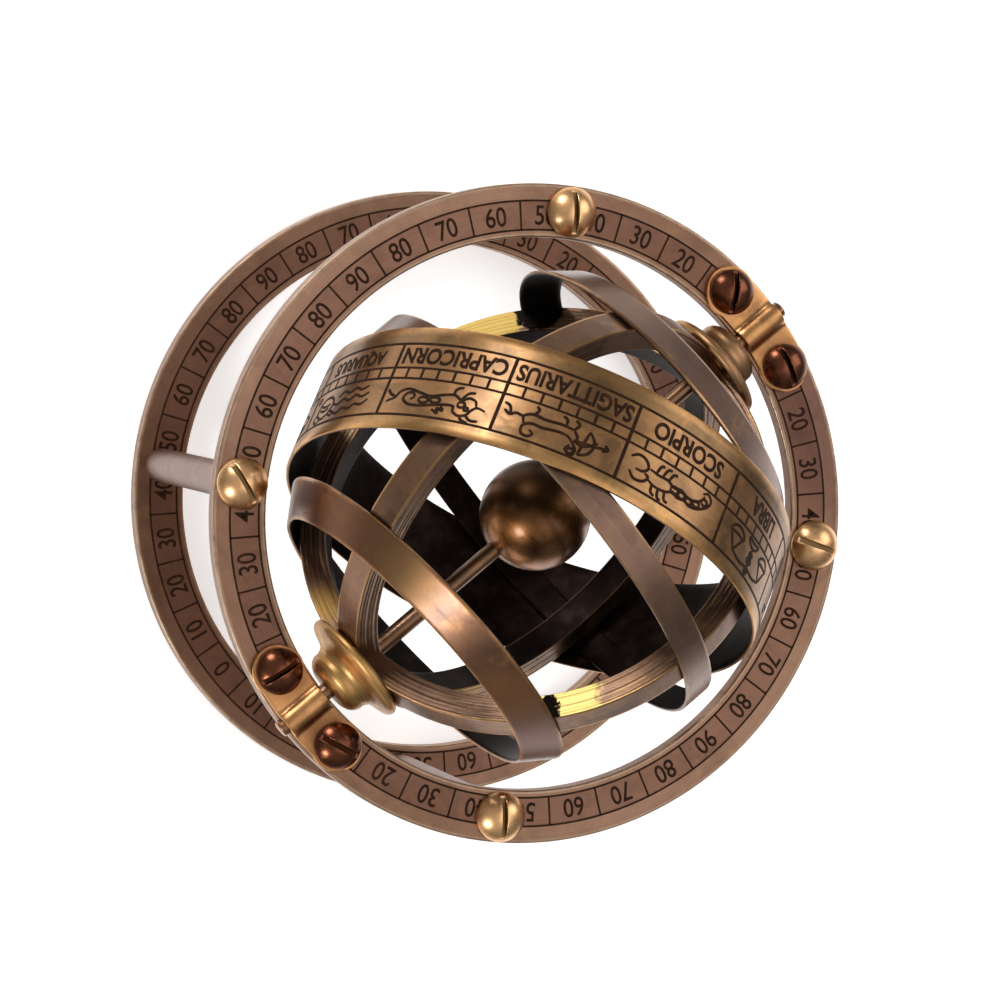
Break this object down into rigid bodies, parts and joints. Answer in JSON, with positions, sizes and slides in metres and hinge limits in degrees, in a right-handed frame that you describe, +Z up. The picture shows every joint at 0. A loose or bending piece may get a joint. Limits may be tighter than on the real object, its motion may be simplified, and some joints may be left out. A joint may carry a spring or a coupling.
{
  "type": "armillary sphere",
  "caption": "Brass armillary sphere: nested rings, tilted zodiac band and ball on a polar axle, turning freely in saddle clamps on a stand of two engraved dial rings and four pillars",
  "frame": {"origin": "on the desk, under the middle of the sphere: the lowest points of the four foot screws lie in the plane z = 0", "axes": "+Z up, square to both dial rings; +X along the polar axle, towards the pole that the dials number from, so the four pillars stand at 45, 135, 225 and 315 degrees; +Y completes a right-handed frame"},
  "size_m": [0.1164, 0.115, 0.1116],
  "materials": {
    "dial_brass": "antiqued, brushed outer margin, dark-filled etched dial",
    "pillar_brass": "satin, aged to a mauve grey brown",
    "bright_brass": "turned, lightly aged bright brass",
    "saddle_brass": "polished, warm golden brown",
    "dark_bronze": "dark reddish brown patina, polished",
    "axle_brass": "drawn rod, aged",
    "ball_bronze": "dark brown and gold mottled patina, polished",
    "collar_brass": "spun, olive gold",
    "colure_brass": "turned, concentric grooves, dark patina with bright worn places",
    "band_bronze": "rolled strip, brown patina outside, near black inside",
    "zodiac_brass": "golden bronze, dark-filled etching outside, near black inside"
  },
  "bodies": {
    "stand": {"top_ring": "dial_brass", "base_ring": "dial_brass", "pillar_1": "pillar_brass", "pillar_2": "pillar_brass", "pillar_3": "pillar_brass", "pillar_4": "pillar_brass", "top_screws": "bright_brass", "base_screws": "bright_brass", "saddle_west": "saddle_brass", "saddle_east": "saddle_brass", "saddle_screws": "dark_bronze"},
    "sphere": {"polar_axle": "axle_brass", "ball": "ball_bronze", "bell_collar_west": "collar_brass", "bell_collar_east": "collar_brass", "equinoctial_colure": "colure_brass", "solstitial_colure": "colure_brass", "equator_band": "band_bronze", "tropic_band_west": "band_bronze", "tropic_band_east": "band_bronze", "zodiac_band": "zodiac_brass"}
  },
  "joints": [
    {"name": "sphere_turn", "type": "hinge", "parent": "stand", "child": "sphere", "pos_m": [0, 0, 0.06796], "axis": [1, 0, 0], "continuous": true}
  ]
}
